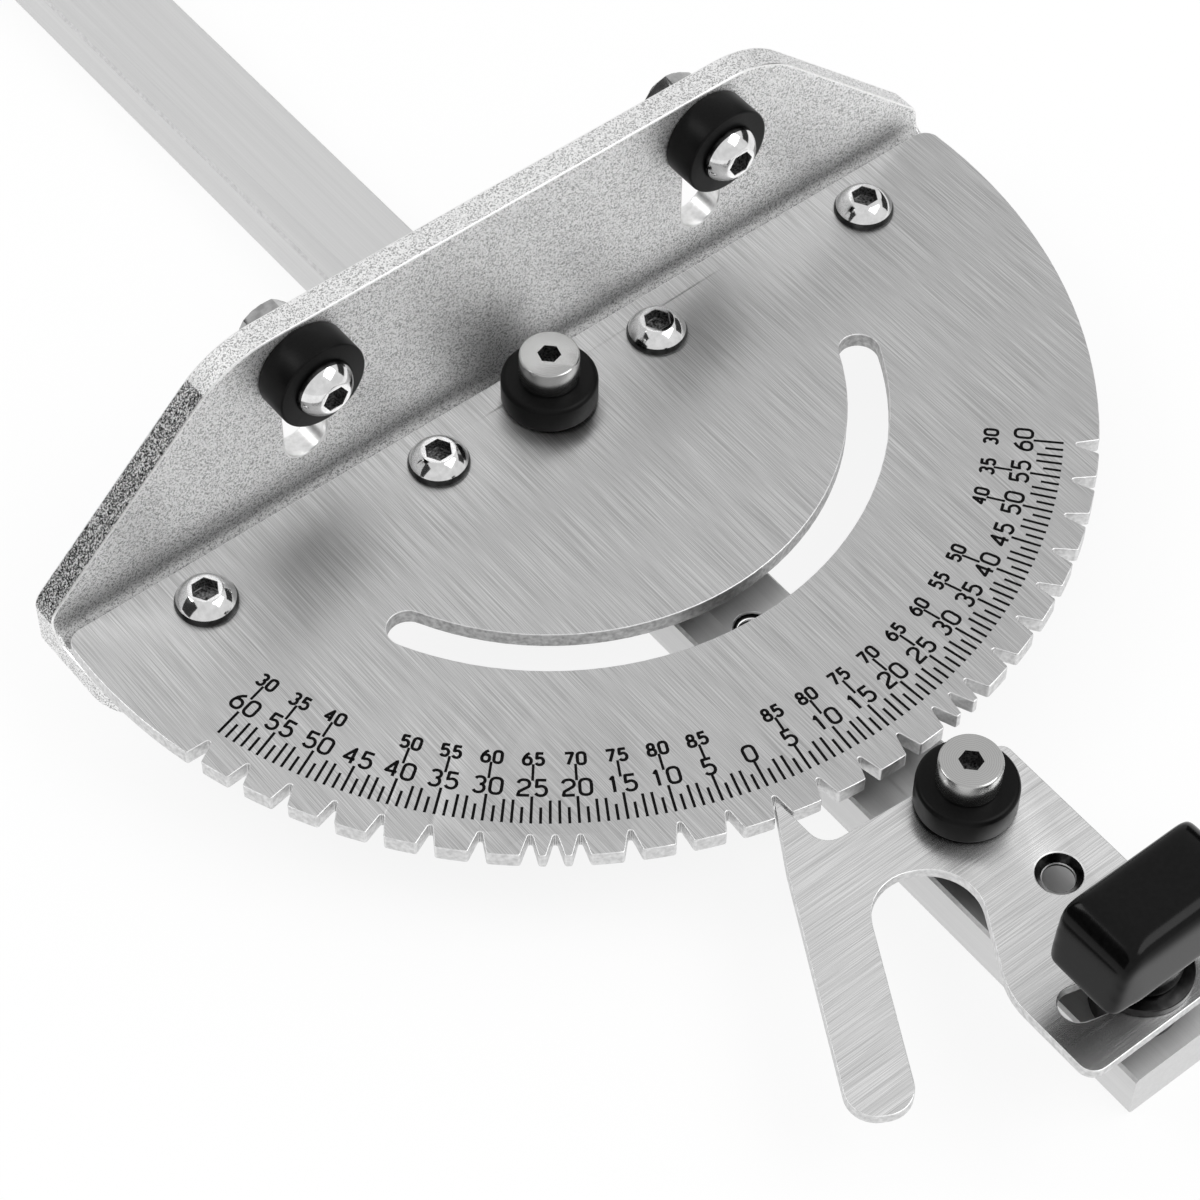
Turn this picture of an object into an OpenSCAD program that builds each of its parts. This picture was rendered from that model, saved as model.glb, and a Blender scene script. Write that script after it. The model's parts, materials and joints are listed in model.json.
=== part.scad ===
// Miter gauge: a notched protractor head with an angle-bracket fence turns on a guide bar, and a
// sheet-metal index plate with a clamp handle locks it at one of its notches.
// The bar runs along Y and its underside is at Z 0. The origin is under the head's pivot, and +Y
// is the way the work is fed. Lengths are in millimetres and angles in degrees.

/* [Bar] */
// Width of the guide bar
bar_w = 19.05; // [17:0.05:24]
// Height of the guide bar
bar_h = 9.525; // [8:0.005:13]
// Length of the guide bar
bar_l = 450; // [400:1:600]
// Chamfer along the bar's long edges
bar_edge = 0.5; // [0.2:0.1:1.5]
// Length of bar behind the clamp stud
bar_tail = 10.5; // [9:0.5:30]
// Width of the chamfer at the mouth of the tapped lock hole
lock_lead = 0.9; // [0.3:0.1:1.2]

/* [Head plate] */
// Radius of the notched rim
plate_r = 92; // [88:0.5:110]
// Thickness of the head plate
plate_t = 3; // [2:0.1:5]
// Radius of the plate's two corners beside the fence
plate_corner = 3; // [1:0.5:6]
// Mean radius of the arc slot for a lock screw
slot_r = 53.5; // [46:0.5:60]
// Width of the arc slot
slot_w = 7; // [6:0.1:9]
// Angle from the middle of the arc slot to the centre of each end
slot_a = 63; // [50:1:66]

/* [Notches] */
// Angle between neighbouring notches
notch_step = 5; // [5:5:15]
// Angle of the last notch on each side
notch_last = 60; // [45:5:70]
// Angle of the extra notch on each side
notch_extra = 22.5; // [22.2:0.1:22.8]
// Angle from the bar's centre line to the zero notch
zero_a = 15; // [12:0.5:17]
// Depth of a notch
notch_d = 3.9; // [3:0.1:5]
// Angle of a notch flank to the notch's own centre line
notch_flank = 16.5; // [14:0.5:18]
// Radius at the root of a notch
notch_root = 0.4; // [0.2:0.05:0.6]
// Size of the broken corner at the mouth of a notch
notch_lead = 0.25; // [0.1:0.05:0.4]

/* [Fence bracket] */
// Height of the fence bracket
fence_h = 45; // [43:0.5:60]
// Thickness of the bracket's wall and leg
fence_t = 5; // [4:0.1:8]
// Distance from the pivot to the fence face
fence_y = 16; // [15.5:0.1:24]
// Width of the bracket's leg, from the fence face to its rear edge
leg_w = 25; // [22:0.5:35]
// Fillet between the wall and the leg
fence_fillet = 3; // [1:0.1:4]
// Radius of the leg's rear corners, seen from above
leg_corner = 10; // [2:0.5:14]
// Height of the upright part of the bracket's ends
end_h = 10; // [8:0.5:20]
// Length of the bracket's top edge, between the slanted ends
top_l = 110; // [100:1:130]
// Radius where the top edge turns into a slanted end
top_corner = 20; // [5:1:24]
// Radius where an upright end turns into its slant
end_corner = 4; // [1:0.5:8]
// Distance from the middle of the bracket to each upright slot
fence_slot_x = 41.5; // [34:0.5:46]
// Distance from the top edge to the centre of a slot's upper end
fence_slot_top = 8.6; // [8.3:0.1:12]

/* [Screws] */
// Distance from the pivot to each inner head screw
screw_in = 23.2; // [18:0.1:30]
// Distance from the pivot to each outer head screw
screw_out = 69.8; // [60:0.1:78]
// Thread diameter of the button-head screws, nuts and clamp stud
bolt_d = 6; // [5:0.5:6.5]
// Diameter of a button head
button_d = 10.5; // [9.5:0.1:13]
// Height of a button head
button_h = 3.3; // [2.8:0.1:4]
// Width across the flats of a button head's socket
button_hex = 4; // [3:0.5:4.5]
// Width across the flats of the hexagon nuts
nut_af = 10; // [10:0.5:12]
// Height of the hexagon nuts
nut_h = 5; // [3:0.1:6]
// Length of thread left standing out of a nut
bolt_proud = 1.5; // [0.5:0.1:6]
// Turn of the left nut on its screw
nut_turn_left = 47; // [0:1:59]
// Turn of the right nut on its screw
nut_turn_right = 24; // [0:1:59]
// Diameter of the two shoulders that the head and the index plate turn on
shoulder_d = 6; // [5.5:0.1:7.5]
// Thread diameter of the two shoulder screws
thread_d = 5; // [4:0.5:5.5]
// Diameter of a shoulder screw's head
cap_d = 10.2; // [9:0.1:12]
// Height of a shoulder screw's head
cap_h = 5.4; // [4:0.1:8]
// Width across the flats of a shoulder screw's socket
cap_hex = 3.5; // [3:0.5:5]

/* [Rings] */
// Outer diameter of the four black rings
ring_d = 16.4; // [14:0.1:17]
// Height of the rings on the pivot and the index screw
ring_h = 5.5; // [4:0.1:9]
// Radius on their outer edges
ring_edge = 0.9; // [0.3:0.1:1.5]
// Height of the two rings on the fence
fence_ring_h = 6.4; // [5:0.1:9]
// Radius on the fence rings' outer edges
fence_ring_edge = 0.4; // [0.2:0.1:1.5]
// Height left between a lowered fence ring and the head plate
ring_clear = 1.8; // [0.5:0.1:4]
// Thickness of the washer that the head turns on
pivot_washer_t = 0.6; // [0.4:0.1:2]
// Diameter of the washer that the head turns on
pivot_washer_d = 15; // [12:0.5:17]

/* [Index plate] */
// Thickness of the index plate
index_t = 2; // [1.5:0.1:2.5]
// Height of the index plate's underside above the head plate's
index_rise = 0.7; // [0.3:0.1:1]
// Distance from the notched rim out to the index screw
index_out = 11.9; // [10.5:0.1:16]
// Clearance between the tip and each flank of its notch
tip_gap = 0.3; // [0.25:0.01:0.35]
// Radius of the tip
tip_blunt = 0.4; // [0.2:0.05:0.6]
// Length of the tip's straight left flank
tip_l = 13.4; // [10:0.1:16]
// Distance from the index screw out to the plate's edge below the tip
tip_foot = 7.1; // [5:0.1:7.5]
// Radius in the corner below the tip
tip_corner = 3.5; // [1:0.1:4.5]
// Distance from the index screw out to the plate's right corner
right_corner = 4.5; // [4.5:0.1:7]
// Width of the plate to the left of the index screw
index_left = 18.3; // [15:0.1:20]
// Width of the plate to the right of the index screw
index_right = 12.1; // [10:0.1:18]
// Length of the plate behind the clamp stud
index_tail = 8.8; // [8:0.1:9]
// Radius of the index plate's small corners
index_corner = 2.8; // [1:0.1:5]
// Angle of the finger to the bar
finger_a = 28.4; // [26:0.1:30]
// Width of the finger
finger_w = 10.6; // [9:0.1:12]
// Distance from the index screw to the finger's end centre, across the bar
finger_x = 43.5; // [42:0.1:46]
// Distance from the index screw to the finger's end centre, along the bar
finger_y = 29.3; // [27:0.1:32]
// Depth of the gap between the finger and the plate, from the finger's end
gap_l = 40.5; // [36:0.1:42]
// Width of the gap between the finger and the plate
gap_w = 17.6; // [14:0.1:18.5]
// Distance from the index screw back to the plate's left shoulder
flank_y = 29.8; // [27:0.1:33]
// Radius of the plate's left shoulder
flank_corner = 14; // [6:0.5:16]
// Distance from the index screw back to the clamp stud
stud_back = 39.1; // [37:0.1:44]
// Angle that the index plate turns to free its tip
release_a = 16; // [12:0.5:18]
// Diameter of the spare countersunk hole
spare_d = 5.2; // [4:0.1:6]
// Diameter of the spare hole's countersink
spare_sink = 7.8; // [7:0.1:9]
// Distance from the index screw back to the spare hole
spare_back = 18.8; // [15:0.1:22]
// Distance from the bar's centre line to the spare hole
spare_side = 2.3; // [0:0.1:4]
// Diameter of the two spacers under the index plate
spacer_d = 14; // [11:0.1:18]

/* [Clamp] */
// Diameter of the clamp washer
clamp_washer_d = 16; // [12:0.1:17]
// Thickness of the clamp washer
clamp_washer_t = 1.6; // [1:0.1:3]
// Diameter of the handle's hub
hub_d = 12; // [11.5:0.1:14]
// Height of the handle's hub
hub_h = 8; // [4:0.1:12]
// Length of the clamp handle
handle_l = 29.2; // [22:0.1:34]
// Width of the clamp handle at its middle
handle_w = 15; // [13:0.1:18]
// Width of the clamp handle at its ends
handle_end_w = 13.9; // [12:0.1:16]
// Radius of the handle's four upright corners
handle_corner = 1.8; // [1:0.1:3]
// Height of the clamp handle above its hub
handle_h = 13.7; // [12:0.1:18]
// Distance by which each end leans in over that height
handle_lean = 1.8; // [0.5:0.1:2.5]
// Length of the rounding at the handle's top ends
handle_end_r = 5; // [2:0.1:6]
// Rounding along the handle's top sides
handle_side_r = 2.8; // [1:0.1:4]
// Diameter of the threaded insert in the handle
insert_d = 9; // [8:0.1:9.5]
// Length of the threaded insert
insert_l = 12; // [8:0.1:14]

/* [Fits] */
// Radial clearance of a piece that turns or slides on another
run_gap = 0.05; // [0.02:0.01:0.1]
// Radial clearance of a thread in its tapped hole or nut
thread_gap = 0.05; // [0.02:0.01:0.1]
// Clearance of the clamp stud in its arc slot
stud_gap = 0.1; // [0.05:0.01:0.3]
// Distance from the bar's underside up to the end of a blind thread
thread_stop = 1.5; // [1:0.1:3]

/* [Hidden] */
// Turn of one step of a rounded corner of radius 1; a larger radius takes finer steps
arc_step = 24;
// Length by which a cutter passes the face that it cuts
past = 1;
// A curved slot's round ends are this much narrower, so that they cross its end and don't touch it
end_step = 0.02;
// Roundness of every true cylinder
$fn = 72;

// Heights of the faces that the pieces stack on
bracket_z = bar_h + pivot_washer_t;
plate_z = bracket_z + fence_t;
head_top = plate_z + plate_t;
index_z = plate_z + index_rise;
index_top = index_z + index_t;
clamp_z = index_top + clamp_washer_t;
handle_z = clamp_z + hub_h;
hole_floor = thread_stop - 0.5;

// Places along the bar, behind the pivot
index_y = -(plate_r + index_out);
stud_y = index_y - stud_back;
bar_end_y = stud_y - bar_tail;
lock_y = -slot_r;

// The fence bracket is as long as the head plate is wide
fence_l = 2 * plate_r;

// The fence's inner face, and the head plate's straight edge where the fillet starts
wall_y = fence_y - fence_t;
plate_y = wall_y - fence_fillet;

// The upright slots fit the necks of the fence rings
neck_d = bolt_d + 2.3;
fence_slot_w = neck_d + 2 * run_gap;
slot_low_z = plate_z + plate_t + ring_clear + ring_d / 2;
slot_high_z = bracket_z + fence_h - fence_slot_top;
fence_rest_z = slot_high_z - 0.2;

// Bores that the shoulders and threads pass through
shoulder_bore = shoulder_d + 2 * run_gap;
bolt_bore = bolt_d + 2 * run_gap;
tap_d = thread_d + 2 * thread_gap;
bolt_tap = bolt_d + 2 * thread_gap;
lock_tap = 5;
stud_slot_w = bolt_d + 2 * stud_gap;
// Turn of the index plate that its slot leaves past the stud at each end
slot_spare = 0.8;
// Length by which the head screws stop short of the leg's underside
screw_short = 0.4;
// The same lean of the handle's ends, over the length past their foot
lean_past = handle_lean * past / handle_h;
// Distance by which each side of the handle leans in over its height
side_lean = 0.3;
// The two corners of a round end stop this far short of its middle, so that they still fit where
// its sides aren't quite parallel
end_spare = 0.5;

// A button head's flat top and thin rim, and a socket's depth as a share of its head
button_top_d = 5.8;
button_rim = 0.5;
socket_depth = 0.62;

// Radius at which a notch's flanks, and the tip's flanks, would meet if they weren't rounded
notch_apex = plate_r - notch_d + notch_root - notch_root / sin(notch_flank);
tip_apex = notch_apex + tip_gap / sin(notch_flank);

steel = "silver";
alloy = "lightgray";
black = [0.12, 0.12, 0.12];

// A point turned about the origin
function turned(p, a) = [p.x * cos(a) - p.y * sin(a), p.x * sin(a) + p.y * cos(a)];

// The arc of radius r that rounds the corner at b, on the way from a to c
function corner(a, b, c, r) =
    let (u = (a - b) / norm(a - b),
         v = (c - b) / norm(c - b),
         half = acos(u * v) / 2,
         middle = b + (u + v) / norm(u + v) * r / sin(half),
         first = b + u * r / tan(half) - middle,
         turn = (180 - 2 * half) * sign(cross(b - a, c - b)),
         steps = ceil(abs(turn) * sqrt(r) / arc_step))
    [for (i = [0 : steps]) middle + turned(first, turn * i / steps)];

// An outline through [x, y, radius] corners, each rounded by its own radius
function rounded(path) =
    [for (i = [0 : len(path) - 1])
        let (n = len(path),
             a = path[(i + n - 1) % n],
             b = path[i],
             c = path[(i + 1) % n])
        each b[2] > 0 ? corner([a.x, a.y], [b.x, b.y], [c.x, c.y], b[2]) : [[b.x, b.y]]];

// A point at radius r, at angle a from the bar's rear end towards +X
function at(r, a) = [r * sin(a), -r * cos(a)];

// The corners [x, y, radius] of an outline, with their mirror images across the Y axis
function both_sides(half) =
    concat(half, [for (i = [len(half) - 1 : -1 : 0]) [-half[i].x, half[i].y, half[i][2]]]);

// A ring or washer about Z, with its outer edges rounded
module disc(d, h, bore, edge = 0) {
    rotate_extrude()
        polygon(rounded([[bore / 2, 0, 0], [d / 2, 0, edge], [d / 2, h, edge], [bore / 2, h, 0]]));
}

// A curved slot about Z between two angles, cut from z0 up to z1
module arc_slot(r, w, from, to, z0, z1) {
    rotate([0, 0, from - 90])
        rotate_extrude(angle = to - from)
            translate([r - w / 2, z0])
                square([w, z1 - z0]);
    for (a = [from, to])
        translate([r * sin(a), -r * cos(a), z0])
            cylinder(d = w - end_step, h = z1 - z0);
}

// A hexagon of a given width across its flats
module hexagon(af, h) {
    cylinder(r = af / 2 / cos(30), h = h, $fn = 6);
}

// A button-head socket screw: its head stands on Z 0 and its shank points down
module button_screw(length) {
    mid = (pow(button_top_d / 2, 2) + pow(button_h, 2) - pow(button_d / 2, 2) - pow(button_rim, 2))
        / (2 * (button_h - button_rim));
    dome_r = norm([button_d / 2, button_rim - mid]);
    difference() {
        union() {
            intersection() {
                cylinder(d = button_d, h = button_h);
                translate([0, 0, mid])
                    sphere(r = dome_r);
            }
            translate([0, 0, -length])
                cylinder(d = bolt_d, h = length + button_h / 4);
        }
        translate([0, 0, button_h * (1 - socket_depth)])
            hexagon(button_hex, button_h);
    }
}

// A shoulder screw: its head stands on Z 0, then the shoulder and the thread go down
module shoulder_screw(shoulder_l, thread_l) {
    cap_edge = 0.4;
    difference() {
        union() {
            disc(cap_d, cap_h, 0, cap_edge);
            translate([0, 0, -shoulder_l])
                cylinder(d = shoulder_d, h = shoulder_l + cap_h / 4);
            translate([0, 0, -shoulder_l - thread_l])
                cylinder(d = thread_d, h = thread_l + shoulder_l / 4);
        }
        translate([0, 0, cap_h * (1 - socket_depth)])
            rotate([0, 0, 15])
                hexagon(cap_hex, cap_h);
    }
}

module miter_bar() {
    color(alloy)
    difference() {
        translate([0, bar_end_y + bar_l, 0])
            rotate([90, 0, 0])
                linear_extrude(bar_l)
                    bar_profile();
        for (y = [0, index_y])
            translate([0, y, hole_floor])
                cylinder(d = tap_d, h = bar_h);
        translate([0, stud_y, hole_floor])
            cylinder(d = bolt_tap, h = bar_h);
        translate([0, lock_y, -past])
            cylinder(d = lock_tap, h = bar_h + 2 * past);
        translate([0, lock_y, bar_h - lock_lead])
            cylinder(d1 = lock_tap, d2 = lock_tap + 2 * (lock_lead + past), h = lock_lead + past);
    }
}

module bar_profile() {
    w = bar_w / 2;
    e = bar_edge;
    polygon([[e - w, 0], [w - e, 0], [w, e], [w, bar_h - e],
             [w - e, bar_h], [e - w, bar_h], [-w, bar_h - e], [-w, e]]);
}

// One notch in the rim, about its own centre line along -Y
module notch_outline() {
    lip = plate_r - notch_lead;
    lip_x = (lip - notch_apex) * tan(notch_flank);
    mouth_x = lip_x + notch_lead + past;
    polygon(rounded([[0, -notch_apex, notch_root],
                     [lip_x, -lip, 0],
                     [mouth_x, -plate_r - past, 0],
                     [-mouth_x, -plate_r - past, 0],
                     [-lip_x, -lip, 0]]));
}

// The half disc: its straight edge meets the rim at edge_a, where the corners are rounded
module plate_outline() {
    edge_a = asin(plate_y / plate_r);
    edge_x = plate_r * cos(edge_a);
    reach = 2 * plate_r;
    difference() {
        intersection() {
            circle(r = plate_r, $fn = 240);
            polygon(rounded(both_sides([
                [edge_x + reach * sin(edge_a), plate_y - reach * cos(edge_a), 0],
                [edge_x, plate_y, plate_corner]])));
        }
        for (a = [-notch_last : notch_step : notch_last])
            rotate(a - zero_a)
                notch_outline();
        for (a = [-notch_extra, notch_extra])
            rotate(a - zero_a)
                notch_outline();
    }
}

// Repeats what follows at the four head screws
module at_head_screws(z) {
    for (x = [-screw_out, -screw_in, screw_in, screw_out])
        translate([x, 0, z])
            children();
}

module protractor_plate() {
    color(alloy)
    difference() {
        translate([0, 0, plate_z])
            linear_extrude(plate_t)
                plate_outline();
        arc_slot(slot_r, slot_w, -slot_a, slot_a, plate_z - past, head_top + past);
        translate([0, 0, plate_z - past])
            cylinder(d = shoulder_bore, h = plate_t + 2 * past);
        at_head_screws(plate_z - past)
            cylinder(d = bolt_bore, h = plate_t + 2 * past);
    }
}

// The bracket's cross-section: Y across, Z up from the leg's underside
module bracket_section() {
    rear = fence_y - leg_w - past;
    top = fence_h + past;
    polygon(rounded([[rear, 0, 0], [fence_y, 0, 0], [fence_y, top, 0], [wall_y, top, 0],
                     [wall_y, fence_t, fence_fillet], [rear, fence_t, 0]]));
}

// The bracket seen from the front: X across, Z up from the leg's underside
module bracket_front() {
    polygon(rounded(both_sides([[fence_l / 2, -past, 0],
                                [fence_l / 2, end_h, end_corner],
                                [top_l / 2, fence_h, top_corner]])));
}

// The bracket seen from above
module bracket_plan() {
    polygon(rounded(both_sides([[fence_l / 2, fence_y - leg_w, leg_corner],
                                [fence_l / 2, fence_y + past, 0]])));
}

// One upright slot through the wall, for the neck of a fence ring
module fence_slot(x) {
    translate([x, fence_y + past, 0])
        rotate([90, 0, 0]) {
            for (z = [slot_low_z, slot_high_z])
                translate([0, z, 0])
                    cylinder(d = fence_slot_w, h = fence_t + 2 * past);
            translate([-fence_slot_w / 2, slot_low_z, 0])
                cube([fence_slot_w, slot_high_z - slot_low_z, fence_t + 2 * past]);
        }
}

module fence_bracket() {
    color(alloy)
    difference() {
        translate([0, 0, bracket_z])
            intersection() {
                rotate([90, 0, 90])
                    linear_extrude(fence_l + 2 * past, center = true)
                        bracket_section();
                translate([0, fence_y + past, 0])
                    rotate([90, 0, 0])
                        linear_extrude(leg_w + 3 * past)
                            bracket_front();
                translate([0, 0, -past])
                    linear_extrude(fence_h + 3 * past)
                        bracket_plan();
            }
        fence_slot(-fence_slot_x);
        fence_slot(fence_slot_x);
        translate([0, 0, bracket_z - past])
            cylinder(d = shoulder_bore, h = fence_t + 2 * past);
        at_head_screws(bracket_z - past)
            cylinder(d = bolt_tap, h = fence_t + 2 * past);
    }
}

module head_screws() {
    color(steel)
    at_head_screws(head_top)
        button_screw(plate_t + fence_t - screw_short);
}

module pivot_washer() {
    color("dimgray")
    translate([0, 0, bar_h])
        disc(pivot_washer_d, pivot_washer_t, shoulder_bore);
}

// A ring over a shoulder, under its screw's head
module shoulder_ring() {
    color(black)
    disc(ring_d, ring_h, shoulder_bore, ring_edge);
}

module pivot_ring() {
    translate([0, 0, head_top])
        shoulder_ring();
}

module pivot_screw() {
    color(steel)
    translate([0, 0, head_top + ring_h])
        shoulder_screw(head_top + ring_h - bar_h, bar_h - thread_stop);
}

module index_spacer() {
    color(black)
    translate([0, index_y, bar_h])
        disc(spacer_d, index_z - bar_h, shoulder_bore);
}

// The index plate about the index screw: the tip, the finger, the gap and the body in turn
module index_outline() {
    along = at(1, -finger_a);
    across = turned(along, 90);
    tip = at(tip_apex, -zero_a) - [0, index_y];
    flank = tip + at(tip_l, -zero_a - notch_flank);
    finger_end = [-finger_x, -finger_y] + along * finger_w / 2;
    outer = finger_end - across * finger_w / 2;
    inner = finger_end + across * finger_w / 2;
    gap_left = inner - along * gap_l;
    gap_right = gap_left + across * gap_w;
    tail = -stud_back - index_tail;
    polygon(rounded([
        [tip.x, tip.y, tip_blunt],
        [flank.x, flank.y, 0],
        [outer.x, outer.y, finger_w / 2 - end_spare],
        [inner.x, inner.y, finger_w / 2 - end_spare],
        [gap_left.x, gap_left.y, gap_w / 2 - end_spare],
        [gap_right.x, gap_right.y, gap_w / 2 - end_spare],
        [-index_left, -flank_y, flank_corner],
        [-index_left, tail, index_corner],
        [index_right, tail, index_corner],
        [index_right, right_corner, 0.65 * index_corner],
        [tip.x + 0.2, tip_foot, tip_corner]]));
}

module index_plate() {
    color(alloy)
    translate([0, index_y, 0])
        difference() {
            translate([0, 0, index_z])
                linear_extrude(index_t)
                    index_outline();
            translate([0, 0, index_z - past])
                cylinder(d = shoulder_bore, h = index_t + 2 * past);
            arc_slot(stud_back, stud_slot_w, -release_a - slot_spare, slot_spare,
                     index_z - past, index_top + past);
            translate([spare_side, -spare_back, index_z - past])
                cylinder(d = spare_d, h = index_t + 2 * past);
            translate([spare_side, -spare_back, index_top - (spare_sink - spare_d) / 2])
                cylinder(d1 = spare_d, d2 = spare_sink + 2 * past,
                         h = (spare_sink - spare_d) / 2 + past);
        }
}

module index_ring() {
    translate([0, index_y, index_top])
        shoulder_ring();
}

module index_screw() {
    color(steel)
    translate([0, index_y, index_top + ring_h])
        shoulder_screw(index_top + ring_h - bar_h, bar_h - thread_stop);
}

module clamp_spacer() {
    color(black)
    translate([0, stud_y, bar_h])
        disc(spacer_d, index_z - bar_h, bolt_bore);
}

module clamp_stud() {
    stud_edge = 0.6;
    color(steel)
    translate([0, stud_y, thread_stop])
        disc(bolt_d, clamp_z + insert_l - 1 - thread_stop, 0, stud_edge);
}

module clamp_washer() {
    color("dimgray")
    translate([0, stud_y, index_top])
        disc(clamp_washer_d, clamp_washer_t, bolt_bore, 0.2);
}

module handle_insert() {
    color("goldenrod")
    translate([0, stud_y, clamp_z])
        disc(insert_d, insert_l, bolt_bore);
}

// The grip from its side: X across, Z up; its ends lean in and are rounded above
module grip_side() {
    polygon(rounded(both_sides([[handle_l / 2 + lean_past, -past, 0],
                                [handle_l / 2 - handle_lean, handle_h, handle_end_r]])));
}

// The grip from its end: Y across, Z up
module grip_end() {
    polygon(rounded(both_sides([[handle_w / 2, -past, 0],
                                [handle_w / 2 - side_lean, handle_h, handle_side_r]])));
}

// The grip from above, a little narrower at its ends
module grip_plan() {
    x = handle_l / 2;
    y = handle_end_w / 2;
    polygon(rounded(both_sides([[0.6 * x, -handle_w / 2, 0], [x, -y, handle_corner],
                                [x, y, handle_corner], [0.6 * x, handle_w / 2, 0]])));
}

module grip() {
    intersection() {
        rotate([90, 0, 0])
            linear_extrude(handle_w + 2 * past, center = true)
                grip_side();
        rotate([90, 0, 90])
            linear_extrude(handle_l + 2 * past, center = true)
                grip_end();
        linear_extrude(handle_h + past)
            grip_plan();
    }
}

module clamp_handle() {
    color(black)
    translate([0, stud_y, 0])
        difference() {
            union() {
                translate([0, 0, clamp_z])
                    cylinder(d1 = hub_d, d2 = hub_d + 1, h = hub_h + 1);
                translate([0, 0, handle_z])
                    grip();
            }
            translate([0, 0, clamp_z - past])
                cylinder(d = insert_d + 2 * thread_gap, h = insert_l + past);
        }
}

// Places a piece of a fence fastener: its own +Z points out through the fence, along +Y
module through_fence(x, y) {
    translate([x, y, fence_rest_z])
        rotate([-90, 0, 0])
            children();
}

// A ring on the wall's inner face, with a neck that rides in the upright slot
module fence_ring(x) {
    neck_l = fence_t - 0.3;
    color(black)
    through_fence(x, wall_y - fence_ring_h)
        difference() {
            union() {
                disc(ring_d, fence_ring_h, 0, fence_ring_edge);
                cylinder(d = neck_d, h = fence_ring_h + neck_l);
            }
            translate([0, 0, -past])
                cylinder(d = bolt_bore, h = fence_ring_h + neck_l + 2 * past);
        }
}

module fence_screw(x) {
    color(steel)
    through_fence(x, wall_y - fence_ring_h)
        rotate([180, 0, 0])
            button_screw(fence_ring_h + fence_t + nut_h + bolt_proud);
}

// A hexagon nut with its corners turned off at both ends
module fence_nut(x, turn) {
    flat = nut_af / 2;
    point = flat / cos(30);
    lead = (point - flat) * tan(30);
    color(steel)
    through_fence(x, fence_y)
        rotate([0, 0, turn])
            difference() {
                intersection() {
                    hexagon(nut_af, nut_h);
                    rotate_extrude()
                        polygon([[0, 0], [flat, 0], [point + past / 100, lead],
                                 [point + past / 100, nut_h - lead], [flat, nut_h], [0, nut_h]]);
                }
                translate([0, 0, -past])
                    cylinder(d = bolt_tap, h = nut_h + 2 * past);
            }
}

module fence_ring_left() fence_ring(-fence_slot_x);
module fence_ring_right() fence_ring(fence_slot_x);
module fence_screw_left() fence_screw(-fence_slot_x);
module fence_screw_right() fence_screw(fence_slot_x);
module fence_nut_left() fence_nut(-fence_slot_x, nut_turn_left);
module fence_nut_right() fence_nut(fence_slot_x, nut_turn_right);

miter_bar();
protractor_plate();
fence_bracket();
head_screws();
pivot_washer();
pivot_ring();
pivot_screw();
index_spacer();
index_plate();
index_ring();
index_screw();
clamp_spacer();
clamp_stud();
clamp_washer();
handle_insert();
clamp_handle();
fence_ring_left();
fence_ring_right();
fence_screw_left();
fence_screw_right();
fence_nut_left();
fence_nut_right();
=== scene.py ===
"""The looks of a miter gauge: softened metal edges, brushed and blasted aluminium, dial and studio."""
import json
import math

import bmesh
import bpy
from mathutils import Matrix, Vector


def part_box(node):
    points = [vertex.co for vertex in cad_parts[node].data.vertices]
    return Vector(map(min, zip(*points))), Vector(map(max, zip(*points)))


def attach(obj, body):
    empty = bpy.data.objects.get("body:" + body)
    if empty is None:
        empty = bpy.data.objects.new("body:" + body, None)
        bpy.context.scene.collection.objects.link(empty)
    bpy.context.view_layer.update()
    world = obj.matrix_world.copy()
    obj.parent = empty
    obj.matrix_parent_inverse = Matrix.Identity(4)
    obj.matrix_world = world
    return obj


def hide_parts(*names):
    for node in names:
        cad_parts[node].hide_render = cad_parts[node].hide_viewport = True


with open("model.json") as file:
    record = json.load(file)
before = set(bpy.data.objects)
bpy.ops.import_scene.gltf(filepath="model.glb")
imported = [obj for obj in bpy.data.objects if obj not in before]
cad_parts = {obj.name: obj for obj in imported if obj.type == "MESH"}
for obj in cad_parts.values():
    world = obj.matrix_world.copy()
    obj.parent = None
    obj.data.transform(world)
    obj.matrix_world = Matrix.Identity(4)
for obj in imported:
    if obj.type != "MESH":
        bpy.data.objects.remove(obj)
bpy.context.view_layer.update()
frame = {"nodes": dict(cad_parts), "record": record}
nodes = frame["nodes"]
body_of_node = {n: body for body, names in frame["record"]["behaviour"]["bodies"].items() for n in names}
scene = bpy.context.scene

MM = 0.001
UP = Vector((0, 0, 1))
BACK = Vector((0, 1, 0))

# Places on the object, as the solids have them
PLATE_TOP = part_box("protractor_plate")[1].z
PIVOT = Vector((0, 0, 0))
INDEX_AXIS = Vector((0, -103.9 * MM, 0))
SPARE_HOLE = Vector((2.3 * MM, -122.7 * MM, 0))
LOCK_HOLE = Vector((0, -53.5 * MM, 0))
FENCE_X = 41.5 * MM
HEAD_SCREWS_X = (-69.8, -23.2, 23.2, 69.8)


def linear(code):
    """An sRGB hex colour as linear RGBA."""
    parts = [int(code[i:i + 2], 16) / 255 for i in (1, 3, 5)]
    return (*[c / 12.92 if c <= 0.04045 else ((c + 0.055) / 1.055) ** 2.4 for c in parts], 1)


def add(tree, kind, values=(), links=(), stops=(), **settings):
    """Adds one node to a node tree, with its settings, its sockets' values and links, and on a
    colour ramp its stops, each a position and a hex colour."""
    made = tree.nodes.new(kind)
    for name, value in settings.items():
        setattr(made, name, value)
    for socket, value in dict(values).items():
        made.inputs[socket].default_value = value
    for socket, source in dict(links).items():
        tree.links.new(source, made.inputs[socket])
    if stops:
        marks = made.color_ramp.elements
        while len(marks) < len(stops):
            marks.new(0.5)
        for mark, (position, code) in zip(marks, stops):
            mark.position = position
            mark.color = linear(code)
    return made


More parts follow.
